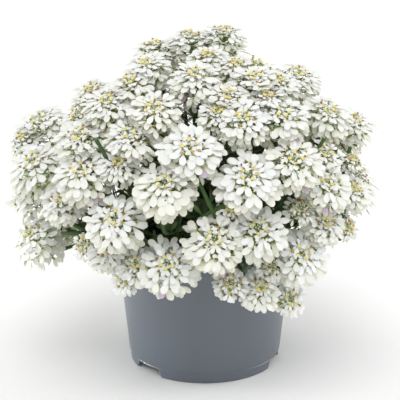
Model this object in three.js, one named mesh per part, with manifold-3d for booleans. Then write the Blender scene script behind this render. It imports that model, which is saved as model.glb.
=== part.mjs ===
// Potted evergreen candytuft: a grey nursery pot on a notched foot, its soil, seven rooted leafy stems,
// and a crown of white flower heads that hides the stems and spills over the rim.
// Millimetres, +Z up. The origin is on the ground under the pot's axis, and -Y is the side usually seen.

import * as THREE from "three";
import { mergeVertices } from "three/addons/utils/BufferGeometryUtils.js";
import Module from "manifold-3d";

const wasm = await Module();
wasm.setup();

// Clearance kept between pieces that only touch
const GAP = 0.3;
// How far a cutting body runs past the face that it opens
const OVERRUN = 1;

// Pot, a 13 cm nursery size
const RIM_RADIUS = 65;
const POT_HEIGHT = 93;
const LIP_HEIGHT = 9;
const LIP_PROUD = 1.5;
const BODY_FOOT_RADIUS = 55;
const FOOT_RADIUS = 53.6;
const FOOT_HEIGHT = 6.8;
const FOOT_ROUND = 1.2;
const WALL = 1.8;
const FLOOR = 2;
const FOOT_DRAFT = 0.2;
const POT_SEGMENTS = 40;
const NOTCH_AZIMUTHS = [-48.5, 71.5, 191.5];
const NOTCH_WIDTH = 22;
const NOTCH_FLARE = 3;
const NOTCH_HEIGHT = 6.4;
const DRAIN_RADIUS = 4;
const DRAIN_CIRCLE = 38;
const DRAINS = 6;
const DRAIN_SEGMENTS = 6;

// Soil, filled to a little below the rim
const SOIL_EDGE_Z = 80;
const SOIL_CROWN_Z = 83;
const SOIL_LEVEL_RADIUS = 35;

// Rooted stems: one in the middle and a ring round it
const RING_STEMS = 6;
const RING_RADIUS = 22;
const TRUNK_RADIUS = 2.4;
const TRUNK_SIDES = 6;
const TRUNK_ROOT_Z = 64;
const TRUNK_TOP_Z = 108;
const FORK_Z = [97, 106];
const BRANCH_RADIUS = 1.2;
// A branch bends at a knee: how far before its head, as a share of its length, and how far to the
// side. The first of these that keeps it clear of the heads is taken.
const KNEES = [
  [0.4, 0], [0.25, 0], [0.55, 0], [0.4, 12], [0.4, -12], [0.2, 16], [0.2, -16], [0.1, 0],
  [0.4, 22], [0.4, -22], [0.6, 16], [0.6, -16], [0.1, 20], [0.1, -20], [0.3, 7], [0.3, -7],
];
// A branch that comes over the rim ends in a straight neck
const NECK_LENGTH = 5;
// Branches to the lowest heads pass over the rim here
const OVER_RIM = { radius: 70, z: 98 };
// Heads nearer the vertical than this belong to the middle stem
const MIDDLE_CONE = 36;

// Leaves, narrow and blunt
const LEAF_LENGTHS = [15, 24];
const LEAF_WIDTH = 3.6;
const LEAF_THICKNESS = 0.9;
const LEAF_TRIES = 4;
// Where a leaf grows out of its branch, as a share of the way from the fork to the knee
const LEAF_ROOTS = [0.35, 0.95];
// How far a leaf leans along its branch, where it bends, and how far its tip then turns up,
// as shares of its length
const LEAF_LEAN = 0.9;
const LEAF_BEND = 0.6;
const LEAF_ARCH = 0.15;

// Crown: an egg on which the eyes of the heads lie, its lower half the longer
const CROWN = { across: 121, deep: 110, up: 90, down: 140, z: 146 };
// Every head faces away from this point on the pot's axis. Those in front also lean towards the
// viewer, and turn to the side by only a share of the angle.
const FACING_FROM_Z = 5;
const FRONT_SIDEWAYS = 0.55;
const FRONT_LEAN = 0.25;

// The crown is set out as it looks from the front, from a little above
const VIEW_ELEVATION = 16.8;
const VIEW_DISTANCE = 1000;
const VIEW_AIM_Z = 130;

// Heads that show from the front: millimetres across and up in the view, how far the eye
// stands out from the crown towards the viewer, and the head's radius
const FRONT_HEADS = [
  // left shoulder
  [-114, 49, 0, 18], [-125, 36, 0, 12], [-119, 19, 2, 19], [-91, 38, 2, 19], [-83, 71, -2, 16],
  [-71, 63, 4, 18], [-91, 55, -6, 13], [-55, 77, 0, 17], [-90, 13, 4, 21], [-62, 19, -6, 15],
  // top
  [-42, 90, 1, 16], [-37, 104, 0, 16], [-10, 111, 0, 18], [-7, 82, 3, 18], [-37, 58, 3, 19],
  [14, 114, 0, 18], [23, 89, -5, 14], [36, 80, 2, 18], [54, 78, 0, 15], [69, 83, 0, 18],
  [45, 67, -3, 14], [17, 67, -1, 16], [9, 55, -5, 14], [28, 51, 2, 18], [2, 96, -5, 15],
  [36, 91, -9, 12],
  // right shoulder
  [57, 54, 2, 19], [90, 56, 0, 19], [109, 50, 3, 17], [66, 21, 5, 20], [107, 21, 0, 9],
  [88, 26, -4, 13], [89, 4, 2, 19], [109, -1, 0, 14],
  // front
  [-54, 39, 0, 19], [-11, 30, 6, 21], [32, 9, 6, 22], [-30, 3, 5, 21], [-66, -22, 4, 21],
  [7, -37, 5, 21], [39, -29, 3, 21], [-123, -1, 0, 15], [-104, -8, -3, 17], [20, -14, -8, 12],
  // lower fringe
  [-120, -34, 0, 17], [-27, -55, 2, 21], [71, -48, 2, 21], [41, -73, 0, 15], [19, -69, 0, 12],
  [70, -14, -8, 12], [88, -25, -1, 15], [-50, -55, -5, 16], [-72, -45, -3, 15], [-88, -41, -1, 11],
  [-58, -66, 0, 11], [63, -81, 0, 12], [104, -28, -2, 10], [48, -56, -6, 11],
];

// The hidden side's eyes follow an even spiral over the same egg, which is drawn in where they would
// show past the heads in front: in the front view they lie in a half oval, whose bulge would be 1 in a
// triangle and 2 in an ellipse. They keep this far from the eyes in front, and half the radius of the
// head there besides.
const HIDDEN_WITHIN = { across: 116, up: 103, bulge: 1.5 };
const HIDDEN_FOREMOST_Y = -20;
const HIDDEN_LOWEST_Z = 92;
const HIDDEN_APART = 19;
const HIDDEN_RADII = [21, 23];
const HIDDEN_PETALS = 6;
const SPIRAL_POINTS = 92;
const SPIRAL_START = 2.1;

// Head layers as shares of the head's radius: reach from its axis, and rise along it
const HEAD = {
  base: { reach: 0, rise: -0.76 },
  lowValley: { reach: 0.56, rise: -0.46 },
  lowTip: { reach: 1, rise: -0.42 },
  lowRoot: { reach: 0.44, rise: -0.06 },
  highValley: { reach: 0.5, rise: -0.02 },
  highTip: { reach: 0.85, rise: 0.1 },
  highRoot: { reach: 0.26, rise: 0.24 },
  eye: { reach: 0, rise: 0.34 },
};
// A petal that its neighbours crowd keeps at least this share of its reach
const LEAST_REACH = 0.1;
// Half the width of a petal's blunt tip, as a share of the petals' pitch
const TIP_SHARE = 0.24;
const TIP_VARIES = 0.16;
// Petals in each layer of a head in front, by its radius
const petalCount = (radius) => (radius < 16.5 ? 5 : radius < 20.5 ? 6 : 7);
// The petal that joins two heads of one node, where they don't meet
const JOINING_PETAL = { width: 2.2, thickness: 0.9 };

const MOST_NODES = 60;

// Starting points of the draws of chance
const SEEDS = { spin: 17, petal: 31, fork: 60, hidden: 300, leaf: 1000 };

const LOOKS = {
  pot: { color: 0x70777f, roughness: 0.45, metalness: 0 },
  soil: { color: 0x3a2b20, roughness: 1, metalness: 0 },
  leafy_stem: { color: 0x2f4d22, roughness: 0.6, metalness: 0 },
  flower_heads: { color: 0xf6f6f0, roughness: 0.7, metalness: 0 },
};

// A repeatable stand-in for chance, between 0 and 1
function chance(seed) {
  const x = Math.sin(seed * 12.9898 + 4.1414) * 43758.5453;
  return x - Math.floor(x);
}

function between([low, high], share) {
  return THREE.MathUtils.lerp(low, high, share);
}

// A point at an azimuth from the front, counted towards +X
function around(azimuth, radius, z) {
  const a = THREE.MathUtils.degToRad(azimuth);
  return new THREE.Vector3(radius * Math.sin(a), -radius * Math.cos(a), z);
}

function azimuthOf(point) {
  return THREE.MathUtils.radToDeg(Math.atan2(point.x, -point.y));
}

function solidOf(geometry) {
  geometry.deleteAttribute("uv");
  geometry.deleteAttribute("normal");
  const merged = mergeVertices(geometry, 1e-4);
  return new wasm.Manifold(
    new wasm.Mesh({
      numProp: 3,
      vertProperties: merged.attributes.position.array,
      triVerts: new Uint32Array(merged.index.array),
    }),
  );
}

function geometryOf(solid) {
  const { vertProperties, triVerts, numProp } = solid.getMesh();
  const positions = new Float32Array((vertProperties.length / numProp) * 3);
  for (let i = 0; i < positions.length / 3; i++) {
    positions.set(vertProperties.subarray(i * numProp, i * numProp + 3), i * 3);
  }
  return new THREE.BufferGeometry()
    .setAttribute("position", new THREE.BufferAttribute(positions, 3))
    .setIndex(new THREE.BufferAttribute(triVerts, 1));
}

// A closed body from shared vertices and triangles
function facetedSolid(vertices, triangles) {
  const geometry = new THREE.BufferGeometry().setFromPoints(vertices).setIndex(triangles.flat());
  return solidOf(geometry);
}

// A body of revolution about Z from [radius, z] points, which start and end on the axis
function turned(profile, segments) {
  const outline = profile.map(([radius, z]) => new THREE.Vector2(radius, z));
  return solidOf(new THREE.LatheGeometry(outline, segments).rotateX(Math.PI / 2));
}

// A plain upright cylinder between two heights
function post(centre, radius, lowZ, highZ, sides) {
  const geometry = new THREE.CylinderGeometry(radius, radius, highZ - lowZ, sides);
  geometry.rotateX(Math.PI / 2).translate(centre.x, centre.y, (lowZ + highZ) / 2);
  return solidOf(geometry);
}

// Sections of stems and of blades
const THREE_SIDED = [[1, 0], [-0.5, 0.87], [-0.5, -0.87]];
const DIAMOND = [[1, 0], [0, 1], [-1, 0], [0, -1]];

// A body swept along points, from half-widths along a side direction and half-thicknesses across it.
// A width of 0 closes an end to a point.
function swept(points, side, widths, thicknesses, section) {
  const sides = section.length;
  const vertices = [];
  const rings = points.map((point, k) => {
    const along = points[Math.min(k + 1, points.length - 1)].clone();
    along.sub(points[Math.max(k - 1, 0)]).normalize();
    const across = side.clone().addScaledVector(along, -side.dot(along)).normalize();
    const over = along.clone().cross(across);
    const first = vertices.length;
    if (widths[k] === 0) {
      vertices.push(point.clone());
      return () => first;
    }
    for (const [u, v] of section) {
      const corner = point.clone().addScaledVector(across, u * widths[k]);
      vertices.push(corner.addScaledVector(over, v * thicknesses[k]));
    }
    return (i) => first + (i % sides);
  });
  const triangles = [];
  for (let k = 0; k + 1 < rings.length; k++) {
    const [near, far] = [rings[k], rings[k + 1]];
    for (let i = 0; i < sides; i++) {
      if (near(0) !== near(1)) triangles.push([near(i), near(i + 1), far(i + 1)]);
      if (far(0) !== far(1)) triangles.push([near(i), far(i + 1), far(i)]);
    }
  }
  const [start, end] = [rings[0], rings[rings.length - 1]];
  for (let i = 1; i + 1 < sides; i++) {
    if (start(0) !== start(1)) triangles.push([start(0), start(i + 1), start(i)]);
    if (end(0) !== end(1)) triangles.push([end(0), end(i), end(i + 1)]);
  }
  return facetedSolid(vertices, triangles);
}

// Radius of the pot's outside wall at a height
function bodyRadius(z) {
  const top = POT_HEIGHT - LIP_HEIGHT;
  return THREE.MathUtils.mapLinear(z, 0, top, BODY_FOOT_RADIUS, RIM_RADIUS - LIP_PROUD);
}

function potSolid() {
  const lipZ = POT_HEIGHT - LIP_HEIGHT;
  const floorZ = FOOT_HEIGHT + FLOOR;
  const outside = turned(
    [
      [0, 0],
      [FOOT_RADIUS, 0],
      [FOOT_RADIUS + FOOT_DRAFT, FOOT_HEIGHT],
      [bodyRadius(FOOT_HEIGHT + FOOT_ROUND), FOOT_HEIGHT + FOOT_ROUND],
      [bodyRadius(lipZ), lipZ],
      [RIM_RADIUS - FOOT_ROUND / 2, lipZ],
      [RIM_RADIUS, POT_HEIGHT - FOOT_ROUND],
      [RIM_RADIUS - FOOT_ROUND / 2, POT_HEIGHT],
      [0, POT_HEIGHT],
    ],
    POT_SEGMENTS,
  );
  const inside = turned(
    [
      [0, floorZ],
      [bodyRadius(floorZ) - WALL, floorZ],
      [bodyRadius(lipZ) - WALL, lipZ],
      [RIM_RADIUS - WALL, lipZ + WALL],
      [RIM_RADIUS - WALL, POT_HEIGHT + OVERRUN],
      [0, POT_HEIGHT + OVERRUN],
    ],
    POT_SEGMENTS,
  );
  const under = turned(
    [
      [0, -OVERRUN],
      [FOOT_RADIUS - WALL, -OVERRUN],
      [FOOT_RADIUS - WALL, FOOT_HEIGHT],
      [0, FOOT_HEIGHT],
    ],
    POT_SEGMENTS,
  );
  let pot = outside.subtract(inside).subtract(under);
  for (const azimuth of NOTCH_AZIMUTHS) pot = pot.subtract(notchCutter(azimuth));
  for (let i = 0; i < DRAINS; i++) {
    const centre = around((360 * i) / DRAINS, DRAIN_CIRCLE, 0);
    const [low, high] = [FOOT_HEIGHT - OVERRUN, floorZ + OVERRUN];
    pot = pot.subtract(post(centre, DRAIN_RADIUS, low, high, DRAIN_SEGMENTS));
  }
  return pot;
}

// A prism through the foot, wider at the ground than at the top
function notchCutter(azimuth) {
  const top = NOTCH_WIDTH / 2;
  const bottom = top + NOTCH_FLARE;
  const outline = new THREE.Shape();
  outline.moveTo(-bottom, -OVERRUN);
  outline.lineTo(bottom, -OVERRUN);
  outline.lineTo(top, NOTCH_HEIGHT);
  outline.lineTo(-top, NOTCH_HEIGHT);
  const depth = FOOT_RADIUS;
  const cutter = new THREE.ExtrudeGeometry(outline, { depth, bevelEnabled: false, steps: 1 });
  cutter.rotateX(Math.PI / 2).translate(0, -depth / 2, 0);
  return solidOf(cutter.rotateZ(THREE.MathUtils.degToRad(azimuth)));
}

function trunkPlaces() {
  const ring = Array.from({ length: RING_STEMS }, (_, i) => (360 * i) / RING_STEMS);
  return [new THREE.Vector3(0, 0, 0), ...ring.map((azimuth) => around(azimuth, RING_RADIUS, 0))];
}

function soilSolid(trunks) {
  const floorZ = FOOT_HEIGHT + FLOOR + GAP;
  const heap = turned(
    [
      [0, floorZ],
      [bodyRadius(floorZ) - WALL - GAP, floorZ],
      [bodyRadius(SOIL_EDGE_Z) - WALL - GAP, SOIL_EDGE_Z],
      [SOIL_LEVEL_RADIUS, SOIL_CROWN_Z],
      [0, SOIL_CROWN_Z],
    ],
    POT_SEGMENTS,
  );
  const hole = (centre) => {
    const top = SOIL_CROWN_Z + OVERRUN;
    return post(centre, TRUNK_RADIUS + GAP, TRUNK_ROOT_Z - GAP, top, TRUNK_SIDES);
  };
  return trunks.reduce((soil, centre) => soil.subtract(hole(centre)), heap);
}

// A place in the front view: where its line of sight first meets the crown or, past the crown's
// outline, passes closest to it, and then a little back along that line towards the viewer
function onCrown(across, up, out) {
  const e = THREE.MathUtils.degToRad(VIEW_ELEVATION);
  const back = new THREE.Vector3(0, -Math.cos(e), Math.sin(e));
  const upright = new THREE.Vector3(0, Math.sin(e), Math.cos(e));
  const aim = new THREE.Vector3(0, 0, VIEW_AIM_Z);
  const eye = aim.clone().addScaledVector(back, VIEW_DISTANCE);
  const sight = aim.clone().addScaledVector(upright, up).setX(across).sub(eye).normalize();
  const meet = (height) => {
    const shrink = new THREE.Vector3(1 / CROWN.across, 1 / CROWN.deep, 1 / height);
    const o = eye.clone().setZ(eye.z - CROWN.z).multiply(shrink);
    const d = sight.clone().multiply(shrink);
    const [a, b, c] = [d.dot(d), o.dot(d), o.dot(o) - 1];
    const reach = (-b - Math.sqrt(Math.max(b * b - a * c, 0))) / a;
    return eye.clone().addScaledVector(sight, reach - out);
  };
  const upper = meet(CROWN.up);
  return upper.z >= CROWN.z ? upper : meet(CROWN.down);
}

// How far out a place lies in the front view, as a share of the half oval of the hidden side
function hiddenSpread(place) {
  const e = THREE.MathUtils.degToRad(VIEW_ELEVATION);
  const z = place.z - VIEW_AIM_Z;
  const nearness = VIEW_DISTANCE / (VIEW_DISTANCE + place.y * Math.cos(e) - z * Math.sin(e));
  const up = Math.max(0, z * Math.cos(e) + place.y * Math.sin(e));
  const shares = [Math.abs(place.x) / HIDDEN_WITHIN.across, up / HIDDEN_WITHIN.up];
  const sum = shares.reduce((total, share) => total + share ** HIDDEN_WITHIN.bulge, 0);
  return nearness * sum ** (1 / HIDDEN_WITHIN.bulge);
}

// Eyes on the hidden side, where there is room beside the heads in front
function hiddenEyes(fronts) {
  const turn = Math.PI * (3 - Math.sqrt(5));
  const aim = new THREE.Vector3(0, 0, VIEW_AIM_Z);
  const eyes = [];
  for (let i = 0; i < SPIRAL_POINTS; i++) {
    const level = 1 - (2 * (i + 0.5)) / SPIRAL_POINTS;
    const round = Math.sqrt(1 - level * level);
    const eye = new THREE.Vector3(
      CROWN.across * round * Math.sin(turn * (i + SPIRAL_START)),
      -CROWN.deep * round * Math.cos(turn * (i + SPIRAL_START)),
      CROWN.z + level * (level > 0 ? CROWN.up : CROWN.down),
    );
    eye.sub(aim).divideScalar(Math.max(1, hiddenSpread(eye.clone().add(aim)))).add(aim);
    const clear = fronts.every((head) => {
      return head.eye.distanceTo(eye) > HIDDEN_APART + head.radius / 2;
    });
    if (clear && eye.y > HIDDEN_FOREMOST_Y && eye.z > HIDDEN_LOWEST_Z) eyes.push(eye);
  }
  return eyes;
}

function layOutHeads() {
  const from = new THREE.Vector3(0, 0, FACING_FROM_Z);
  const fronts = FRONT_HEADS.map(([across, up, out, radius]) => {
    const eye = onCrown(across, up, out);
    const axis = eye.clone().sub(from).normalize();
    axis.set(FRONT_SIDEWAYS * axis.x, axis.y - FRONT_LEAN * (1 + axis.y), axis.z).normalize();
    return { eye, axis, radius, petals: petalCount(radius) };
  });
  const backs = hiddenEyes(fronts).map((eye, i) => {
    const axis = eye.clone().sub(from).normalize();
    const radius = between(HIDDEN_RADII, chance(i + SEEDS.hidden));
    return { eye, axis, radius, petals: HIDDEN_PETALS };
  });
  return [...fronts, ...backs].map(({ eye, axis, radius, petals }, index) => {
    const centre = eye.clone().addScaledVector(axis, -HEAD.eye.rise * radius);
    return { centre, axis, radius, petals, index };
  });
}

// Heads that crowd each other most share a node, two by two, until few enough nodes are left
function groupHeads(heads, mostGroups) {
  const pairs = heads.flatMap((a, i) =>
    heads.slice(i + 1).map((b) => {
      return { a, b, crowd: a.centre.distanceTo(b.centre) / (a.radius + b.radius) };
    }),
  );
  pairs.sort((p, q) => p.crowd - q.crowd);
  const mates = new Map();
  for (const { a, b } of pairs) {
    if (heads.length - mates.size / 2 <= mostGroups) break;
    if (mates.has(a) || mates.has(b)) continue;
    mates.set(a, b);
    mates.set(b, a);
  }
  return heads
    .filter((head) => !mates.has(head) || mates.get(head).index > head.index)
    .map((head) => (mates.has(head) ? [head, mates.get(head)] : [head]));
}

// The planes that keep a head inside its own share of the crown
function wallsOf(head, others) {
  const walls = others.map((other) => {
    const normal = other.centre.clone().sub(head.centre);
    const apart = normal.length();
    normal.divideScalar(apart);
    const share = (apart * head.radius) / (head.radius + other.radius) - GAP / 2;
    return { normal, limit: normal.dot(head.centre) + share };
  });
  return walls.filter(({ normal, limit }) => limit - normal.dot(head.centre) < 2 * head.radius);
}

// Two layers of petals under a bud-covered eye, as one closed surface
function headSolid(head, walls) {
  const { centre, axis, radius, petals, index } = head;
  const side = new THREE.Vector3(1, 0, 0).cross(axis).normalize();
  const other = axis.clone().cross(side);
  const pitch = (2 * Math.PI) / petals;
  const spin = chance(index + SEEDS.spin) * pitch;
  const vertices = [];
  const put = (turns, { reach, rise }, varies = 0) => {
    const angle = spin + turns * pitch;
    const onAxis = centre.clone().addScaledVector(axis, rise * radius);
    const out = side.clone().multiplyScalar(Math.cos(angle)).addScaledVector(other, Math.sin(angle));
    const jitter = 1 + varies * (chance(index * SEEDS.petal + vertices.length) - 0.5);
    out.multiplyScalar(reach * radius * jitter);
    let keep = 1;
    for (const { normal, limit } of walls) {
      const over = normal.dot(out);
      if (over > 0) keep = Math.min(keep, Math.max(LEAST_REACH, (limit - normal.dot(onAxis)) / over));
    }
    vertices.push(onAxis.addScaledVector(out, keep));
    return vertices.length - 1;
  };
  const layer = (shift, valley, tip, root) =>
    Array.from({ length: petals }, (_, i) => ({
      valley: put(i + shift - 0.5, valley),
      left: put(i + shift - TIP_SHARE, tip, TIP_VARIES),
      right: put(i + shift + TIP_SHARE, tip, TIP_VARIES),
      root: put(i + shift, root),
    }));
  const base = put(0, HEAD.base);
  const eye = put(0, HEAD.eye);
  const low = layer(0, HEAD.lowValley, HEAD.lowTip, HEAD.lowRoot);
  const high = layer(0.5, HEAD.highValley, HEAD.highTip, HEAD.highRoot);
  const triangles = [];
  for (let i = 0; i < petals; i++) {
    const [a, b] = [low[i], low[(i + 1) % petals]];
    triangles.push([base, a.left, a.valley], [base, a.right, a.left], [base, b.valley, a.right]);
    triangles.push([a.root, a.valley, a.left], [a.root, a.left, a.right]);
    triangles.push([a.root, a.right, b.valley], [a.root, b.valley, b.root]);
    const [c, d] = [high[i], high[(i + 1) % petals]];
    triangles.push([a.root, c.left, c.valley], [a.root, c.right, c.left]);
    triangles.push([a.root, b.root, c.right], [b.root, d.valley, c.right]);
    triangles.push([c.root, c.valley, c.left], [c.root, c.left, c.right]);
    triangles.push([c.root, c.right, d.valley], [c.root, d.valley, d.root], [eye, c.root, d.root]);
  }
  return facetedSolid(vertices, triangles);
}

function groupSolid(group, heads) {
  const others = heads.filter((head) => !group.includes(head));
  const solids = group.map((head) => headSolid(head, wallsOf(head, others)));
  if (group.length === 1) return solids[0];
  const together = solids[0].add(solids[1]);
  if (together.decompose().length === 1) return together;
  const ends = group.map((head) => head.centre);
  const { width, thickness } = JOINING_PETAL;
  return together.add(swept(ends, group[0].axis, [thickness, thickness], [width, width], DIAMOND));
}

// The trunk that carries a head: the middle one for the top of the crown, or else the nearest
function trunkOf(head) {
  const lean = head.centre.clone().setZ(head.centre.z - OVER_RIM.z).angleTo(new THREE.Vector3(0, 0, 1));
  if (THREE.MathUtils.radToDeg(lean) < MIDDLE_CONE) return 0;
  const sector = Math.round((azimuthOf(head.centre) * RING_STEMS) / 360);
  return 1 + ((sector + RING_STEMS) % RING_STEMS);
}

// A head's branch: out of its trunk, over the rim where it must, and up under the head
function branchPoints(head, trunk, [swing, aside]) {
  const tip = head.centre.clone().addScaledVector(head.axis, HEAD.base.rise * head.radius - GAP);
  const start = trunk.clone().setZ(between(FORK_Z, chance(head.index + SEEDS.fork)));
  const side = around(azimuthOf(tip) + 90, 1, 0);
  const knee = tip.clone().addScaledVector(head.axis, -swing * start.distanceTo(tip));
  if (knee.z > OVER_RIM.z) return [start, knee.addScaledVector(side, aside), tip];
  const overRim = around(azimuthOf(tip), OVER_RIM.radius, OVER_RIM.z).addScaledVector(side, aside);
  return [start, overRim, tip.clone().addScaledVector(head.axis, -NECK_LENGTH), tip];
}

function branchSolid(points, room) {
  const side = points[1].clone().sub(points[0]).cross(new THREE.Vector3(0, 0, 1));
  if (side.length() < 1) side.set(1, 0, 0);
  const widths = points.map(() => BRANCH_RADIUS + room);
  return swept(points, side.normalize(), widths, widths, THREE_SIDED);
}

// The first way for a branch that stays clear of the heads, the pot and other stems' growth
function clearBranch(head, trunk, inTheWay) {
  const ways = KNEES.map((knee) => branchPoints(head, trunk, knee));
  return ways.find((points) => clearOf(branchSolid(points, GAP), inTheWay)) ?? ways[0];
}

// A leaf out of a branch, arching upwards, with a little room added all round if asked
function leafSolid(branch, seed, room) {
  const [start, knee] = branch;
  const tip = branch[branch.length - 1];
  const place = start.clone().lerp(knee, between(LEAF_ROOTS, chance(seed)));
  const along = tip.clone().sub(start).normalize();
  const aside = around(360 * chance(seed + 0.3), 1, 2 * chance(seed + 0.6) - 1);
  const out = aside.addScaledVector(along, LEAF_LEAN - aside.dot(along)).normalize();
  const length = between(LEAF_LENGTHS, chance(seed + 0.8));
  const middle = place.clone().addScaledVector(out, LEAF_BEND * length);
  const end = place.clone().addScaledVector(out, length).addScaledVector(along, LEAF_ARCH * length);
  const widths = [0, LEAF_WIDTH / 2 + room, room];
  const thicknesses = [0, LEAF_THICKNESS / 2 + room, room];
  const side = out.clone().cross(along).normalize();
  return swept([place, middle, end], side, widths, thicknesses, DIAMOND);
}

function boxesMeet(a, b) {
  return a.min.every((low, k) => low < b.max[k] && b.min[k] < a.max[k]);
}

function clearOf(solid, neighbours) {
  const box = solid.boundingBox();
  return neighbours.every(({ body, bounds }) => {
    return !boxesMeet(box, bounds) || body.intersect(solid).isEmpty();
  });
}

function bounded(body) {
  return { body, bounds: body.boundingBox() };
}

// A fused body without its loose scraps and the hollows that fusing seals
function inOnePiece(solid) {
  return solid.decompose().reduce((most, part) => (part.volume() > most.volume() ? part : most));
}

// Every leafy stem: its trunk, a branch to each of its heads, and leaves where there is room
function stemSolids(heads, trunks, fixed) {
  const pieces = trunks.map((centre) => {
    return [post(centre, TRUNK_RADIUS, TRUNK_ROOT_Z, TRUNK_TOP_Z, TRUNK_SIDES)];
  });
  const branches = pieces.map(([post], trunk) => ({ trunk, near: bounded(post) }));
  for (const head of heads) {
    const trunk = trunkOf(head);
    const grown = branches.filter((b) => b.trunk !== trunk).map((b) => b.near);
    const points = clearBranch(head, trunks[trunk], [...fixed, ...grown]);
    const near = bounded(branchSolid(points, 0));
    branches.push({ trunk, points, index: head.index, near });
    pieces[trunk].push(near.body);
  }
  const leaves = [];
  for (const { trunk, points, index } of branches.slice(trunks.length)) {
    const inTheWay = [...fixed, ...branches.filter((b) => b.trunk !== trunk).map((b) => b.near)];
    const leavesOfOthers = leaves.filter((leaf) => leaf.trunk !== trunk).map((leaf) => leaf.near);
    for (let attempt = 0; attempt < LEAF_TRIES; attempt++) {
      const seed = SEEDS.leaf + index * LEAF_TRIES + attempt;
      const roomy = leafSolid(points, seed, GAP);
      if (!clearOf(roomy, [...inTheWay, ...leavesOfOthers])) continue;
      leaves.push({ trunk, near: bounded(roomy) });
      pieces[trunk].push(leafSolid(points, seed, 0));
      break;
    }
  }
  return pieces.map((parts) => inOnePiece(wasm.Manifold.union(parts)));
}

const plant = new THREE.Group();
plant.name = "potted_candytuft";

function place(name, look, solid) {
  const material = new THREE.MeshStandardMaterial(LOOKS[look]);
  const mesh = new THREE.Mesh(geometryOf(solid), material);
  mesh.name = name;
  plant.add(mesh);
}

function numbered(name, i) {
  return `${name}_${String(i + 1).padStart(2, "0")}`;
}

const trunks = trunkPlaces();
const heads = layOutHeads();
const pot = potSolid();
const soil = soilSolid(trunks);
const groups = groupHeads(heads, MOST_NODES - 2 - trunks.length);
const headSolids = groups.map((group) => groupSolid(group, heads));
const stems = stemSolids(heads, trunks, [pot, ...headSolids].map(bounded));

place("pot", "pot", pot);
place("soil", "soil", soil);
stems.forEach((solid, i) => place(numbered("leafy_stem", i), "leafy_stem", solid));
headSolids.forEach((solid, i) => place(numbered("flower_heads", i), "flower_heads", solid));

export default plant;
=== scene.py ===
# Potted evergreen candytuft: florets, leafy stems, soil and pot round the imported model.
# Sizes are in millimetres, and become metres where a mesh is made.
import math

import bmesh
import bpy
import numpy as np
from mathutils import Matrix, Vector
from mathutils.kdtree import KDTree


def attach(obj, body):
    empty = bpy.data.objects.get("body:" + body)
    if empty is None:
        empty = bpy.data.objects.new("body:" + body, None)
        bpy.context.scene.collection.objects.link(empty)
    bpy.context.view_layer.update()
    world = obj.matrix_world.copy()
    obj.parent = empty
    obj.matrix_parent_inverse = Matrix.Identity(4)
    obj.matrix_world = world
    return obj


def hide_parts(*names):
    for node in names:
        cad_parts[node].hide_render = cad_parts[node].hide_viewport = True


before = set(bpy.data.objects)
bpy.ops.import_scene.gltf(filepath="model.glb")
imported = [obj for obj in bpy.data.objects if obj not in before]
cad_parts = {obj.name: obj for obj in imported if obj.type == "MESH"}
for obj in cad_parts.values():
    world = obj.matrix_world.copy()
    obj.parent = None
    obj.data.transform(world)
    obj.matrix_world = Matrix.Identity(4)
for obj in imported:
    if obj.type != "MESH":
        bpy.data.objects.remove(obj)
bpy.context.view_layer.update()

MM = 0.001
GOLDEN = math.pi * (3 - math.sqrt(5))
# Edges sharper than this many degrees stay sharp
SHARP_EDGES = {"plant": 60, "pot": 38}
# No stem runs this way
OFF_STEMS = [0.31, 0.2, 0.93]

# View of the photograph: the camera aims at a point on the pot's axis
VIEW_ELEVATION = math.radians(16.8)
VIEW_DISTANCE = 1000
VIEW_AIM_Z = 130
FRAME_PIXELS = 400
FOCAL_PIXELS = 1387
AIM_PIXEL = (204.7, 186.1)
SENSOR_WIDTH = 36
TO_VIEWER = np.array([0, -math.cos(VIEW_ELEVATION), math.sin(VIEW_ELEVATION)])

# Pot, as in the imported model, but for a finer step and narrower notches at the foot
RIM_RADIUS = 65
POT_HEIGHT = 93
LIP_HEIGHT = 9
LIP_PROUD = 1.5
BODY_FOOT_RADIUS = 55
FOOT_RADIUS = 54.7
FOOT_HEIGHT = 6.8
FOOT_ROUND = 1.2
FOOT_NECK = 0.9
FOOT_FLARE = 0.15
FILLET = 0.5
EDGE_ROUND = 0.7
BODY_EDGE_ROUND = 0.8
WALL = 1.8
FLOOR = 2
POT_SEGMENTS = 160
SOIL_SEGMENTS = 110
DRAIN_SEGMENTS = 24
NOTCH_AZIMUTHS = [-48.5, 71.5, 191.5]
NOTCH_WIDTH = 21
NOTCH_FLARE = 2
DRAIN_RADIUS = 4
DRAIN_CIRCLE = 38
DRAINS = 6

SOIL_EDGE_Z = 80
SOIL_CROWN_Z = 83
SOIL_GAP = 0.3
SOIL_RING_STEP = 1.5
SOIL_CRUMBS = (-1.1, 0.9)
SOIL_SIDEWAYS = 0.3

# Stems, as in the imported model
RING_STEMS = 6
RING_RADIUS = 22
TRUNK_RADIUS = 2.4
TRUNK_ROOT_Z = 64
TRUNK_TOP_Z = 108
FORK_Z = (97, 106)
KNEES = [
    (0.4, 0), (0.25, 0), (0.55, 0), (0.4, 12), (0.4, -12), (0.2, 16), (0.2, -16), (0.1, 0),
    (0.4, 22), (0.4, -22), (0.6, 16), (0.6, -16), (0.1, 20), (0.1, -20), (0.3, 7), (0.3, -7),
]
NECK_LENGTH = 5
OVER_RIM_RADIUS = 70
OVER_RIM_Z = 98
MIDDLE_CONE = math.radians(36)

# Crown: an egg on which the eyes of the heads lie
CROWN = {"across": 121, "deep": 110, "up": 90, "down": 140, "z": 146}
# Heads face away from this point on the pot's axis. Those in front also lean towards the viewer,
# and turn to the side by only a share of the angle.
FACING_FROM_Z = 5
FRONT_SIDEWAYS = 0.55
FRONT_LEAN = 0.25
# Where a head's eye and base lie along its axis, as shares of its radius
EYE_RISE = 0.34
BASE_RISE = -0.76

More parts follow.
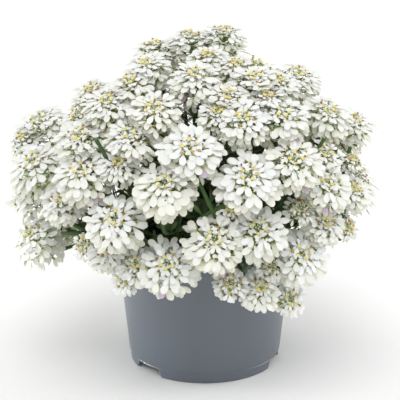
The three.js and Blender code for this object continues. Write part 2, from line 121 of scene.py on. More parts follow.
# Heads that show from the front: across and up in the view, how far the eye stands out, radius
FRONT_HEADS = [
    # left shoulder
    (-114, 49, 0, 18), (-125, 36, 0, 12), (-119, 19, 2, 19), (-91, 38, 2, 19), (-83, 71, -2, 16),
    (-71, 63, 4, 18), (-91, 55, -6, 13), (-55, 77, 0, 17), (-90, 13, 4, 21), (-62, 19, -6, 15),
    # top
    (-42, 90, 1, 16), (-37, 104, 0, 16), (-10, 111, 0, 18), (-7, 82, 3, 18), (-37, 58, 3, 19),
    (14, 114, 0, 18), (23, 89, -5, 14), (36, 80, 2, 18), (54, 78, 0, 15), (69, 83, 0, 18),
    (45, 67, -3, 14), (17, 67, -1, 16), (9, 55, -5, 14), (28, 51, 2, 18), (2, 96, -5, 15),
    (36, 91, -9, 12),
    # right shoulder
    (57, 54, 2, 19), (90, 56, 0, 19), (109, 50, 3, 17), (66, 21, 5, 20), (107, 21, 0, 9),
    (88, 26, -4, 13), (89, 4, 2, 19), (109, -1, 0, 14),
    # front
    (-54, 39, 0, 19), (-11, 30, 6, 21), (32, 9, 6, 22), (-30, 3, 5, 21), (-66, -22, 4, 21),
    (7, -37, 5, 21), (39, -29, 3, 21), (-123, -1, 0, 15), (-104, -8, -3, 17), (20, -14, -8, 12),
    # lower fringe
    (-120, -34, 0, 17), (-27, -55, 2, 21), (71, -48, 2, 21), (41, -73, 0, 15), (19, -69, 0, 12),
    (70, -14, -8, 12), (88, -25, -1, 15), (-50, -55, -5, 16), (-72, -45, -3, 15), (-88, -41, -1, 11),
    (-58, -66, 0, 11), (63, -81, 0, 12), (104, -28, -2, 10), (48, -56, -6, 11),
]

# Stretches of leafy stems that show between those heads: places across, up and out in the view
SHOWN_STEMS = [
    [(-109, -10, -8), (-99, -23, -9), (-88, -33, -13)],
    [(-103, -34, -8), (-88, -34, -13)],
    [(-78, 33, -6), (-70, 19, -7), (-65, 5, -12)],
    [(86, 34, -6), (81, 25, -10)],
    [(105, 28, -6), (99, 12, -10)],
    [(101, -13, -6), (100, -24, -8), (90, -38, -12)],
    [(-29, 41, -5), (-26, 26, -9)],
    [(-9, 13, -6), (1, -8, -7), (10, -27, -12)],
    [(15, -13, -9), (-4, -23, -12)],
    [(-30, -20, -4), (-30, -36, -8)],
    [(27, -62, -3), (32, -53, -7)],
    [(52, -66, -4), (54, -52, -8)],
]

# Heads of the hidden side follow an even spiral over the same egg, which is drawn in where they would
# show past the heads in front: in the front view their eyes lie in a half oval, whose bulge would be
# 1 in a triangle and 2 in an ellipse
HIDDEN_WITHIN = {"across": 116, "up": 103, "bulge": 1.5}
HIDDEN_FOREMOST_Y = -20
HIDDEN_LOWEST_Z = 92
HIDDEN_APART = 19
HIDDEN_RADII = (21, 23)
HIDDEN_SEED = 300
SPIRAL_POINTS = 92
SPIRAL_START = 2.1
# Heads whose centres lie left of this are drawn larger and further out than their solids
LEFT_EDGE_X = -98
LEFT_EDGE_GROWTH = 1.2
LEFT_EDGE_REACH = np.array([-6, 0, 0])

FORK_SEED = 60
SEEDS = {"head": 1000, "branch": 3000, "trunk": 5000, "shown_stem": 7000, "soil": 77}

# Rings of florets down a head's dome: count, reach, rise, slope, long petals, short petals, age.
# Reach, rise and petal lengths are shares of the head's radius, slope is how many degrees the petals
# hang below the level, and age runs from 0 in the eye to 1 when spent.
RINGS = [
    (5, 0.22, 0.28, -8, 0.31, 0.21, 0.0),
    (8, 0.38, 0.24, 0, 0.43, 0.24, 0.35),
    (10, 0.56, 0.13, 8, 0.48, 0.22, 0.6),
    (10, 0.62, -0.08, 15, 0.44, 0.20, 0.85),
    (9, 0.60, -0.30, 22, 0.41, 0.20, 0.97),
    (7, 0.48, -0.50, 28, 0.40, 0.20, 1.0),
]
# Heads that turn their side to the viewer have grown taller, with wider lower rings and one more
SIDE_RINGS = RINGS[:4] + [
    (9, 0.62, -0.30, 20, 0.42, 0.20, 0.95),
    (8, 0.60, -0.52, 24, 0.40, 0.20, 0.98),
    (7, 0.50, -0.72, 30, 0.38, 0.20, 1.0),
]
# They are those whose axis has less than this cosine to the line of sight
SIDE_FACING = 0.72
# Heads smaller than this are young
YOUNG_RADIUS = 13.5
YOUNG_RINGS = [
    (5, 0.38, 0.24, -4, 0.36, 0.24, 0.1),
    (7, 0.56, 0.08, 8, 0.46, 0.26, 0.3),
    (7, 0.58, -0.18, 20, 0.46, 0.25, 0.6),
    (6, 0.46, -0.44, 28, 0.44, 0.24, 0.8),
]
# How far florets stray from their ring: turns as a share of their spacing, slope in degrees
STRAY = {"turn": 0.3, "rise": 0.07, "slope": 9, "age": 0.15}
REACH_SPREAD = (0.86, 1.1)
LONG_SPREAD = (0.88, 1.08)
SHORT_SPREAD = (0.88, 1.1)
# Florets keep this far from the wall to a neighbouring head, and petals may pass it by some play.
# A floret that keeps less than a share of its reach is left out.
FLORET_GAP = 1.0
PETAL_PLAY = 1.8
CROWDED_OUT = 0.45
# A petal that lacks room rises towards the floret's facing, and gets shorter
LEAST_ROOM = 0.5
CROWDED_RISE = 1.1
SHORTEST_PETAL = 0.62

PETAL_THICKNESS = 0.24
PETAL_FOOT = 0.4
# A long petal's width as a share of its length, which differs from head to head
PETAL_SLIMNESS = (0.47, 0.59)
PETAL_TURN = 10
PETAL_LIFT = (-6, 14)
PETAL_LENGTHS = (0.92, 1.08)
PETAL_WIDTHS = (0.88, 1.12)
PETAL_DROOP = (0.02, 0.18)
PETAL_CUP = (-0.12, 0.18)
PETAL_ROLL = 0.3
ANTHERS = 6
ANTHER_LENGTH = 1.2
ANTHER_WIDTH = 1.3
ANTHER_RING = 0.38
ANTHER_SPLAY = 0.4
PISTIL = {"length": 1.2, "width": 0.9}
PEDICEL_WIDTH = (0.8, 1.0)
PEDICEL_SAG = 0.06
CALYX = {"length": 1.6, "width": 1.9}
RACHIS_RADII = [1.3, 1.25, 1.1, 0.6]
BUD_STALK_WIDTH = 0.7
EYE = {"buds": 11, "reach": 0.19}
YOUNG_EYE = {"buds": 26, "reach": 0.42}
BUD_LENGTH = (1.7, 2.6)
POD_LENGTH = (2.6, 4.0)
PLUMPNESS = 0.62


def chance(seed):
    """A repeatable stand-in for chance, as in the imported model."""
    x = math.sin(seed * 12.9898 + 4.1414) * 43758.5453
    return x - math.floor(x)


def stray(rng, limit, size=None):
    """Draws between minus and plus a limit."""
    return rng.uniform(-limit, limit, size)


def lerp(low, high, share):
    return low + (high - low) * share


def unit(vectors):
    return vectors / np.linalg.norm(vectors, axis=-1, keepdims=True)


def around(azimuth, radius, z):
    """A point at an azimuth in degrees from the front, counted towards +X."""
    a = math.radians(azimuth)
    return np.array([radius * math.sin(a), -radius * math.cos(a), z])


def azimuth_of(point):
    return math.degrees(math.atan2(point[0], -point[1]))


# Crown and heads


def on_crown(across, up, out):
    """A place in the front view: where its line of sight meets the crown, or passes closest to it,
    and then a little back along that line towards the viewer."""
    upright = np.array([0, math.sin(VIEW_ELEVATION), math.cos(VIEW_ELEVATION)])
    aim = np.array([0, 0, VIEW_AIM_Z])
    eye = aim + TO_VIEWER * VIEW_DISTANCE
    target = aim + upright * up
    target[0] = across
    sight = unit(target - eye)

    def meet(height):
        shrink = 1 / np.array([CROWN["across"], CROWN["deep"], height])
        o = (eye - np.array([0, 0, CROWN["z"]])) * shrink
        d = sight * shrink
        a, b, c = d @ d, o @ d, o @ o - 1
        return eye + sight * ((-b - math.sqrt(max(b * b - a * c, 0))) / a - out)

    upper = meet(CROWN["up"])
    return upper if upper[2] >= CROWN["z"] else meet(CROWN["down"])


def hidden_spread(place):
    """How far out a place lies in the front view, as a share of the half oval."""
    sine, cosine = math.sin(VIEW_ELEVATION), math.cos(VIEW_ELEVATION)
    z = place[2] - VIEW_AIM_Z
    nearness = VIEW_DISTANCE / (VIEW_DISTANCE + place[1] * cosine - z * sine)
    up = max(0, z * cosine + place[1] * sine)
    shares = (abs(place[0]) / HIDDEN_WITHIN["across"], up / HIDDEN_WITHIN["up"])
    bulge = HIDDEN_WITHIN["bulge"]
    return nearness * sum(share ** bulge for share in shares) ** (1 / bulge)


def hidden_eyes(fronts):
    """Eyes on the hidden side, where there is room beside the heads in front."""
    aim = np.array([0, 0, VIEW_AIM_Z])
    eyes = []
    for i in range(SPIRAL_POINTS):
        level = 1 - 2 * (i + 0.5) / SPIRAL_POINTS
        wide = math.sqrt(1 - level * level)
        eye = np.array([
            CROWN["across"] * wide * math.sin(GOLDEN * (i + SPIRAL_START)),
            -CROWN["deep"] * wide * math.cos(GOLDEN * (i + SPIRAL_START)),
            CROWN["z"] + level * (CROWN["up"] if level > 0 else CROWN["down"]),
        ])
        eye = aim + (eye - aim) / max(1, hidden_spread(eye))
        clear = all(np.linalg.norm(other - eye) > HIDDEN_APART + radius / 2 for other, radius in fronts)
        if clear and eye[1] > HIDDEN_FOREMOST_Y and eye[2] > HIDDEN_LOWEST_Z:
            eyes.append(eye)
    return eyes


def fuller(head):
    """Heads at the left edge of the crown reach further out than their solids, on the same stems."""
    if head["centre"][0] > LEFT_EDGE_X:
        return head
    return {
        **head, "radius": head["radius"] * LEFT_EDGE_GROWTH, "centre": head["centre"] + LEFT_EDGE_REACH,
    }


def lay_out_heads():
    fronts = [(on_crown(across, up, out), radius) for across, up, out, radius in FRONT_HEADS]
    backs = [
        (eye, lerp(*HIDDEN_RADII, chance(i + HIDDEN_SEED)))
        for i, eye in enumerate(hidden_eyes(fronts))
    ]
    heads = []
    for index, (eye, radius) in enumerate(fronts + backs):
        axis = unit(eye - np.array([0, 0, FACING_FROM_Z]))
        if index < len(fronts):
            axis = unit(axis * [FRONT_SIDEWAYS, 1, 1] - [0, FRONT_LEAN * (1 + axis[1]), 0])
        centre = eye - axis * EYE_RISE * radius
        heads.append({
            "index": index, "centre": centre, "axis": axis, "radius": radius,
            "root": centre + axis * (BASE_RISE - 0.05) * radius,
        })
    return heads


def walls_of(head, others):
    """Planes between a head and its neighbours, as outward normals and how far out they lie."""
    away = np.array([other["centre"] for other in others]) - head["centre"]
    apart = np.linalg.norm(away, axis=1)
    share = head["radius"] / (head["radius"] + np.array([other["radius"] for other in others]))
    near = apart * share < 2 * head["radius"]
    normals = away[near] / apart[near, None]
    return normals, normals @ head["centre"] + (apart * share)[near]


def nodes_of_heads(heads):
    """The heads that each packed flower head node holds, found by the corner at each head's eye."""
    names = sorted(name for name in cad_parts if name.startswith("flower_heads"))
    corners = [(name, v.co.copy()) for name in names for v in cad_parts[name].data.vertices]
    tree = KDTree(len(corners))
    for i, (_, place) in enumerate(corners):
        tree.insert(place, i)
    tree.balance()
    held = {name: [] for name in names}
    for head in heads:
        eye = head["centre"] + head["axis"] * EYE_RISE * head["radius"]
        _, i, _ = tree.find(Vector(eye * MM))
        held[corners[i][0]].append(head)
    return held


# Meshes


def new_object(name, data):
    obj = bpy.data.objects.new(name, data)
    bpy.context.scene.collection.objects.link(obj)
    return obj


def shade(mesh, sharp):
    """Smooth shading, but for the sharp edges."""
    mesh.polygons.foreach_set("use_smooth", np.ones(len(mesh.polygons), bool))
    mesh.set_sharp_from_angle(angle=math.radians(sharp))


class Form:
    """Points, triangles, tints and finishes gathered for one piece."""

    def __init__(self):
        self.points, self.triangles, self.tints, self.finishes = [], [], [], []
        self.count = 0

    def add(self, body, tints, finish):
        """Copies of one body. Its points and the tints are (copies, corners, 3)."""
        points, triangles = body
        copies, corners, _ = points.shape
        starts = self.count + corners * np.arange(copies)
        self.points.append(points.reshape(-1, 3))
        self.triangles.append((starts[:, None, None] + triangles).reshape(-1, 3))
        self.tints.append(np.broadcast_to(tints, points.shape).reshape(-1, 3))
        self.finishes.append(np.full(copies * len(triangles), finish))
        self.count += copies * corners

    def piece(self, name, materials):
        mesh = bpy.data.meshes.new(name)
        points = np.concatenate(self.points) * MM
        mesh.from_pydata(points.tolist(), [], np.concatenate(self.triangles).tolist())
        mesh.polygons.foreach_set("material_index", np.concatenate(self.finishes).astype(np.int32))
        tint = mesh.attributes.new("tint", "FLOAT_COLOR", "POINT")
        colours = np.ones((self.count, 4), np.float32)
        colours[:, :3] = np.concatenate(self.tints)
        tint.data.foreach_set("color", colours.ravel())
        for material in materials:
            mesh.materials.append(material)
        mesh.update()
        shade(mesh, SHARP_EDGES["plant"])
        return new_object(name, mesh)


def capped_rings(rings, sides):
    """Triangles of a body of rings that a point closes at each end."""
    tip = rings * sides + 1

    def ring(k, i):
        return 1 + k * sides + i % sides

    triangles = [(0, ring(0, i + 1), ring(0, i)) for i in range(sides)]
    for k in range(rings - 1):
        for i in range(sides):
            triangles.append((ring(k, i), ring(k, i + 1), ring(k + 1, i + 1)))
            triangles.append((ring(k, i), ring(k + 1, i + 1), ring(k + 1, i)))
    triangles += [(tip, ring(rings - 1, i), ring(rings - 1, i + 1)) for i in range(sides)]
    return np.array(triangles)


# Outlines of blades: stations along the length, and the share of the full width there
PETAL_OUTLINE = [(0.14, 0.26), (0.40, 0.72), (0.68, 1.0), (0.91, 0.64)]
SMALL_PETAL_OUTLINE = [(0.3, 0.4), (0.78, 1.0)]
LEAF_OUTLINE = [(0.08, 0.35), (0.35, 0.75), (0.72, 1.0), (0.94, 0.55)]
# Each floret has two long petals outwards and two short ones inwards, turned by these degrees
PETALS = [
    {"size": "long", "turns": (-24, 24), "outline": PETAL_OUTLINE, "wide": 1.0},
    {"size": "short", "turns": (-128, 128), "outline": SMALL_PETAL_OUTLINE, "wide": 1.3},
]


def blades(base, along, normal, length, width, outline, thickness, droop, cup, roll):
    """Thin leaf-like bodies. Droop bends the far end down and cup raises the edges, as shares of
    the length and of the half width. Roll leans a blade over to one side."""
    along = unit(along)
    side = unit(np.cross(along, normal))
    normal = np.cross(side, along)
    c, s = np.cos(roll)[:, None], np.sin(roll)[:, None]
    side, normal = side * c + normal * s, normal * c - side * s
    rings = [base]
    for u, share in outline:
        half = (width / 2 * share)[:, None]
        middle = base + along * (length * u)[:, None] - normal * (length * droop * u * u)[:, None]
        edge = middle + normal * (half[:, 0] * cup)[:, None]
        thick = thickness / 2 * min(1, share * 1.5)
        rings += [edge - side * half, middle + normal * thick]
        rings += [edge + side * half, middle - normal * thick]
    rings.append(base + along * length[:, None] - normal * (length * droop)[:, None])
    return np.stack(rings, axis=1), capped_rings(len(outline), 4)


def spindles(start, end, width, profile, sides, sag=0):
    """Round bodies that run to a point at both ends, from radius shares along their length."""
    along = end - start
    reference = np.where(np.abs(unit(along)[:, 2:]) > 0.9, [[1.0, 0, 0]], [[0, 0, 1.0]])
    side = unit(np.cross(along, reference))
    other = unit(np.cross(side, along))
    rings = [start]
    for u, share in profile:
        middle = start + along * u + sag * (4 * u * (1 - u))
        for i in range(sides):
            a = 2 * math.pi * i / sides
            spoke = side * math.cos(a) - other * math.sin(a)
            rings.append(middle + spoke * (width * share / 2)[:, None])
    rings.append(end)
    return np.stack(rings, axis=1), capped_rings(len(profile), sides)


def tube(path, radii, sides):
    """A round stem along a path, closed by a point at each end."""
    along = unit(np.gradient(path, axis=0))
    side = unit(np.cross(along, OFF_STEMS))
    other = np.cross(side, along)
    a = 2 * math.pi * np.arange(sides) / sides
    spokes = side[:, None] * np.cos(a)[:, None] - other[:, None] * np.sin(a)[:, None]
    rings = (path[:, None] + spokes * np.asarray(radii)[:, None, None]).reshape(-1, 3)
    return np.concatenate([path[:1], rings, path[-1:]])[None], capped_rings(len(path), sides)


# Flower heads

PETAL, STAMEN, GREEN = 0, 1, 2
PETAL_WHITE = np.array([0.89, 0.90, 0.90])
# Cream of older florets: partly their own colour, partly painted warm shade of the lower tiers, where
# older florets sit
PETAL_AGED_AND_SHADED = np.array([0.85, 0.845, 0.72])
PETAL_CLAW = np.array([0.55, 0.60, 0.28])
PETAL_FADED = np.array([0.58, 0.46, 0.58])
# Share of a petal's length over which its greenish claw turns white
CLAW_SHARE = 0.32
# A share of the florets that are older than this has faded petals
FADED_FROM = 0.94
FADED_SHARE = 0.05
# Older heads, by their place in the list, with more faded petals
OLDER_HEADS = (11, 12, 13, 14, 42)
OLDER_SHARE = 0.45
ANTHER_YELLOW = np.array([0.88, 0.79, 0.30])
ANTHER_OCHRE = np.array([0.42, 0.17, 0.05])
ANTHER_MAROON = np.array([0.12, 0.035, 0.025])
BUD_GREEN = np.array([0.50, 0.58, 0.24])
BUD_WHITE = np.array([0.78, 0.80, 0.62])
PEDICEL_GREEN = np.array([0.34, 0.44, 0.12])
CALYX_GREEN = np.array([0.36, 0.44, 0.14])
POD_GREEN = np.array([0.20, 0.30, 0.05])
POD_YELLOW = np.array([0.50, 0.52, 0.12])
# A share of the florets that are older than this bears pods
PODS_FROM = 0.8
POD_SHARE = 0.5
# How white a bud is, corner by corner from its foot to its tip
BUD_WHITENESS = np.array([0] + [0.1] * 5 + [0.6] * 5 + [1.0] * 6)
# Heads differ a little, from cream to a cool white
HEAD_CREAM = np.array([1.0, 1.0, 0.97])
HEAD_COOL = np.array([0.985, 0.995, 1.01])


def on_head(head, angle, reach, rise):
    """Points of a head from an angle round its axis, and shares of its radius."""
    side = unit(np.cross([1.0, 0, 0], head["axis"]))
    other = np.cross(head["axis"], side)
    out = side * np.cos(angle)[:, None] + other * np.sin(angle)[:, None]
    offset = head["axis"] * np.asarray(rise)[..., None] + out * np.asarray(reach)[..., None]
    return head["centre"] + offset * head["radius"], out


def room_along(start, step, walls, spare):
    """The share of each step that stays within the walls plus some spare room."""
    normals, limits = walls
    if not len(normals):
        return np.ones(len(start))
    over = step @ normals.T
    left = limits + spare - start @ normals.T
    share = np.where(over > 1e-6, left / np.maximum(over, 1e-6), np.inf)
    return np.clip(share.min(axis=1), 0, 1)


def florets_of(head, walls, rng):
    """Centres, outward directions, facings, petal lengths and ages of a head's florets."""
    rings = SIDE_RINGS if head["axis"] @ TO_VIEWER < SIDE_FACING else RINGS
    if head["radius"] < YOUNG_RADIUS:
        rings = YOUNG_RINGS
    rows = []
    for n, reach, rise, slope, long, short, age in rings:
        turns = rng.random() + np.arange(n) + stray(rng, STRAY["turn"], n)
        rows.append((
            turns * 2 * math.pi / n,
            reach * rng.uniform(*REACH_SPREAD, n),
            rise + stray(rng, STRAY["rise"], n),
            np.radians(slope + stray(rng, STRAY["slope"], n)),
            long * rng.uniform(*LONG_SPREAD, n) * head["radius"],
            short * rng.uniform(*SHORT_SPREAD, n) * head["radius"],
            np.clip(age + stray(rng, STRAY["age"], n), 0, 1),
        ))
    angle, reach, rise, slope, long, short, age = map(np.concatenate, zip(*rows))
    on_axis, _ = on_head(head, angle, np.zeros_like(reach), rise)
    place, out = on_head(head, angle, reach, rise)
    keep = room_along(on_axis, place - on_axis, walls, -FLORET_GAP)
    place = on_axis + (place - on_axis) * keep[:, None]
    along = unit(out * np.cos(slope)[:, None] - head["axis"] * np.sin(slope)[:, None])
    facing = unit(head["axis"] * np.cos(slope)[:, None] + out * np.sin(slope)[:, None])
    kept = keep > CROWDED_OUT
    return {
        "slim": rng.uniform(*PETAL_SLIMNESS), "cast": lerp(HEAD_CREAM, HEAD_COOL, rng.random()),
        "faded": OLDER_SHARE if head["index"] in OLDER_HEADS else FADED_SHARE,
        "place": place[kept], "along": along[kept], "facing": facing[kept], "age": age[kept],
        "long": long[kept], "short": short[kept], "rise": rise[kept],
    }


def petal_tints(outline, florets, rng):
    """Greenish at the claw, white beyond it, creamier on older florets, which sit in the lower tiers: the
    cream is partly the colour of old petals and partly painted warm shade of those tiers.
    """
    age = florets["age"]
    n = len(age)
    # Age grows down the tiers, so blending towards cream by age is partly old petals' own colour and
    # partly painted shade
    white = lerp(PETAL_WHITE, PETAL_AGED_AND_SHADED, (age ** 1.6)[:, None]) * rng.uniform(0.96, 1.02, (n, 1))
    white *= florets["cast"]
    faded = (age > FADED_FROM) & (rng.random(n) < florets["faded"])
    white[faded] = PETAL_FADED
    stations = [0] + [u for u, _ in outline for _ in range(4)] + [1]
    fade = np.clip(np.array(stations) / CLAW_SHARE, 0, 1)[None, :, None] ** 0.7
    return lerp(PETAL_CLAW[None, None], white[:, None], fade)


def add_petals(form, florets, walls, rng):
    """Two long and two short petals on every floret."""
    place, ahead, facing = florets["place"], florets["along"], florets["facing"]
    across = np.cross(facing, ahead)
    n = len(place)
    for kind in PETALS:
        size = florets[kind["size"]]
        for turn in kind["turns"]:
            a = np.radians(turn + stray(rng, PETAL_TURN, n))[:, None]
            lift = np.radians(rng.uniform(*PETAL_LIFT, n))[:, None]
            along = ahead * np.cos(a) + across * np.sin(a)
            along = along * np.cos(lift) + facing * np.sin(lift)
            normal = facing * np.cos(lift) - along * np.sin(lift)
            length = size * rng.uniform(*PETAL_LENGTHS, n)
            room = room_along(place, along * length[:, None], walls, PETAL_PLAY)
            blocked = 1 - np.clip(room, LEAST_ROOM, 1)
            along = unit(along + facing * (CROWDED_RISE * blocked)[:, None])
            length = length * np.clip(room, SHORTEST_PETAL, 1)
            body = blades(
                place + along * PETAL_FOOT, along, normal, length,
                size * florets["slim"] * kind["wide"] * rng.uniform(*PETAL_WIDTHS, n),
                kind["outline"], PETAL_THICKNESS,
                rng.uniform(*PETAL_DROOP, n), rng.uniform(*PETAL_CUP, n), stray(rng, PETAL_ROLL, n),
            )
            form.add(body, petal_tints(kind["outline"], florets, rng), PETAL)


def add_stamens(form, florets, rng):
    """Anthers round each floret's centre: yellow, later ochre, then shrunken and maroon."""
    place, along, facing, age = (florets[key] for key in ("place", "along", "facing", "age"))
    n = len(age)
    across = np.cross(facing, along)
    fresh = np.clip(1.3 - age * 4, 0, 1)[:, None]
    spent = np.clip(age * 2.2 - 0.6, 0, 1)[:, None]
    colour = lerp(lerp(ANTHER_OCHRE, ANTHER_YELLOW, fresh), ANTHER_MAROON, spent)
    size = np.clip(1.3 - 1.5 * age, 0.5, 1.2)
    for i in range(ANTHERS):
        a = 2 * math.pi * (i + stray(rng, 0.2, n)[:, None]) / ANTHERS
        spoke = along * np.cos(a) + across * np.sin(a)
        foot = place + spoke * (ANTHER_RING * size)[:, None] + facing * 0.3
        tip = foot + facing * (ANTHER_LENGTH * size)[:, None] + spoke * (ANTHER_SPLAY * size)[:, None]
        body = spindles(foot, tip, ANTHER_WIDTH * size, [(0.6, 1.0)], 4)
        form.add(body, colour[:, None] * rng.uniform(0.85, 1.15, (n, 1, 1)), STAMEN)
    tip = place + facing * PISTIL["length"]
    form.add(spindles(place, tip, np.full(n, PISTIL["width"]), [(0.5, 1.0)], 4), CALYX_GREEN, GREEN)


def add_pods(form, florets, rng):
    """The oldest florets swell into yellow-green pods."""
    ripe = (florets["age"] > PODS_FROM) & (rng.random(len(florets["age"])) < POD_SHARE)
    place, facing = florets["place"][ripe], florets["facing"][ripe]
    n = len(place)
    length = rng.uniform(*POD_LENGTH, n)
    lean = unit(facing + florets["along"][ripe] * rng.uniform(0.2, 1.0, (n, 1)))
    tip = place + lean * length[:, None]
    body = spindles(place, tip, length * PLUMPNESS, [(0.35, 0.8), (0.7, 1.0)], 6)
    form.add(body, lerp(POD_GREEN, POD_YELLOW, rng.random((n, 1, 1))), GREEN)


def add_pedicels(form, head, florets, rng):
    """A stalk from the head's own stem to every floret, with a small calyx at its end."""
    radius, axis = head["radius"], head["axis"]
    start = head["centre"] + axis * ((florets["rise"] * 0.75 - 0.3) * radius)[:, None]
    end = florets["place"] - florets["facing"] * 0.2
    sag = -axis * (PEDICEL_SAG * radius)
    n = len(end)
    width = rng.uniform(*PEDICEL_WIDTH, n)
    body = spindles(start, end, width, [(0.1, 1), (0.75, 1)], 3, sag)
    form.add(body, PEDICEL_GREEN * rng.uniform(0.8, 1.25, (n, 1, 1)), GREEN)
    foot, tip = end - florets["facing"] * CALYX["length"], end + florets["facing"] * 0.3
    body = spindles(foot, tip, np.full(n, CALYX["width"]), [(0.7, 1.0)], 4)
    form.add(body, lerp(CALYX_GREEN, PEDICEL_GREEN, rng.random((n, 1, 1))), GREEN)


def add_rachis(form, head):
    """The end of the head's stem, on which the pedicels stand."""
    high = head["centre"] + head["axis"] * 0.12 * head["radius"]
    path = lerp(head["root"][None], high[None], np.linspace(0, 1, 4)[:, None])
    form.add(tube(path, RACHIS_RADII, 6), PEDICEL_GREEN * 0.8, GREEN)


def add_buds(form, head, rng):
    """Closed buds crowd the eye on a spiral."""
    eye = YOUNG_EYE if head["radius"] < YOUNG_RADIUS else EYE
    n = eye["buds"]
    i = np.arange(n)
    reach = eye["reach"] * np.sqrt((i + 0.4) / n) * rng.uniform(0.9, 1.1, n)
    angle = i * GOLDEN + stray(rng, 0.2, n)
    rise = EYE_RISE - 0.06 - 0.9 * reach * reach + rng.uniform(-0.03, 0.02, n)
    tip, out = on_head(head, angle, reach, rise)
    lean = unit(head["axis"] + out * (reach * 1.8)[:, None])
    length = rng.uniform(*BUD_LENGTH, n)
    foot = tip - lean * length[:, None]
    body = spindles(foot, tip, length * PLUMPNESS, [(0.3, 0.8), (0.62, 1.0), (0.9, 0.6)], 5)
    tints = lerp(BUD_GREEN, BUD_WHITE, BUD_WHITENESS[None, :, None]) * rng.uniform(0.85, 1.1, (n, 1, 1))
    form.add(body, tints, GREEN)
    roots = np.repeat((head["centre"] + head["axis"] * 0.02 * head["radius"])[None], n, 0)
    width = np.full(n, BUD_STALK_WIDTH)
    body = spindles(roots, foot + lean * 0.3, width, [(0.2, 1), (0.9, 1)], 3)
    form.add(body, PEDICEL_GREEN, GREEN)


def add_head(form, head, others):
    rng = np.random.default_rng(SEEDS["head"] + head["index"])
    walls = walls_of(head, others)
    florets = florets_of(head, walls, rng)
    add_rachis(form, head)
    add_pedicels(form, head, florets, rng)
    add_petals(form, florets, walls, rng)
    add_stamens(form, florets, rng)
    add_pods(form, florets, rng)
    add_buds(form, head, rng)


# Leafy stems

LEAF, STEM = 0, 1
LEAF_DARK = np.array([0.030, 0.065, 0.018])
LEAF_LIGHT = np.array([0.085, 0.150, 0.035])
STEM_GREEN = np.array([0.045, 0.095, 0.020])
STEM_WOOD = np.array([0.13, 0.095, 0.05])
BRANCH_RADII = (1.7, 1.15)
TRUNK_BENDS = 0.35
TRUNK_RADIUS_SPREAD = (0.92, 1.08)
# Stems that show run this share of the way from their last place to the fork
SHOWN_STEM_INWARDS = 0.45
SHOWN_STEM_RADII = (1.35, 1.6)
LEAF_LENGTH = (13, 22)
LEAF_WIDTH = (2.4, 3.4)
LEAF_THICKNESS = 0.5
LEAF_STEP = 3.0
SHOWN_LEAF_STEP = 2.4
TRUNK_LEAF_STEP = 1.3
LEAF_SPREAD = (38, 68)
LEAF_DROOP = (-0.05, 0.22)
LEAF_CUP = (0.05, 0.35)
LEAF_TURN = 0.3
LEAF_ROLL = 0.4
# Leaf tips stay within this share of the crown. Leaves keep out of heads above their undersides, both
# as shares of a head's radius, off the rim and the pot's wall, and above the soil.
TIPS_WITHIN = 0.97
HEAD_UNDERSIDE = -0.5
HEAD_CLEARANCE = 1.15
ABOVE_RIM = 2
INSIDE_RIM = 6
ABOVE_SOIL = 2


def trunk_places():
    return [np.zeros(3)] + [around(360 * i / RING_STEMS, RING_RADIUS, 0) for i in range(RING_STEMS)]


def sector_of(place):
    """The ring stem in whose sector a place lies."""
    return 1 + math.floor(azimuth_of(place) * RING_STEMS / 360 + 0.5) % RING_STEMS


def trunk_of(head):
    """The trunk that carries a head: the middle one for the top of the crown, or the nearest."""
    lean = head["centre"] - np.array([0, 0, OVER_RIM_Z])
    if math.acos(lean[2] / np.linalg.norm(lean)) < MIDDLE_CONE:
        return 0
    return sector_of(head["centre"])


def branch_route(head, trunk, swing, aside):
    """Out of the trunk, over the rim where it must, and up under the head."""
    tip = head["centre"] + head["axis"] * (BASE_RISE * head["radius"] - 0.3)
    start = trunk.copy()
    start[2] = lerp(*FORK_Z, chance(head["index"] + FORK_SEED))
    side = around(azimuth_of(tip) + 90, 1, 0)
    knee = tip - head["axis"] * swing * np.linalg.norm(start - tip)
    if knee[2] > OVER_RIM_Z:
        return [start, knee + side * aside, tip]
    over_rim = around(azimuth_of(tip), OVER_RIM_RADIUS, OVER_RIM_Z) + side * aside
    return [start, over_rim, tip - head["axis"] * NECK_LENGTH, tip]


def packed_route(head, trunk, corners):
    """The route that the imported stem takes, known by the corners at its knee."""
    routes = [branch_route(head, trunk, *knee) for knee in KNEES]
    miss = [np.linalg.norm(corners - route[1], axis=1).min() for route in routes]
    return routes[int(np.argmin(miss))]


def smooth_path(points, rounds=3):
    """Cuts the corners of a route, and keeps its ends."""
    path = np.array(points)
    for _ in range(rounds):
        near, far = path[:-1], path[1:]
        cut = np.stack([lerp(near, far, 0.25), lerp(near, far, 0.75)], axis=1).reshape(-1, 3)
        path = np.concatenate([path[:1], cut[1:-1], path[-1:]])
    return path


def even_places(path, spacing, first, last):
    """Places and directions along a path at an even spacing."""
    steps = np.linalg.norm(np.diff(path, axis=0), axis=1)
    run = np.concatenate([[0], np.cumsum(steps)])
    at = np.arange(first, run[-1] - last, spacing)
    place, ahead, behind = (
        np.stack([np.interp(at + step, run, path[:, k]) for k in range(3)], axis=1) for step in (0, 1, -1)
    )
    return place, unit(ahead - behind)


def crown_level(points):
    """1 on the crown's surface, less inside it."""
    height = np.where(points[:, 2] > CROWN["z"], CROWN["up"], CROWN["down"])
    return np.sqrt(
        (points[:, 0] / CROWN["across"]) ** 2
        + (points[:, 1] / CROWN["deep"]) ** 2
        + ((points[:, 2] - CROWN["z"]) / height) ** 2
    )


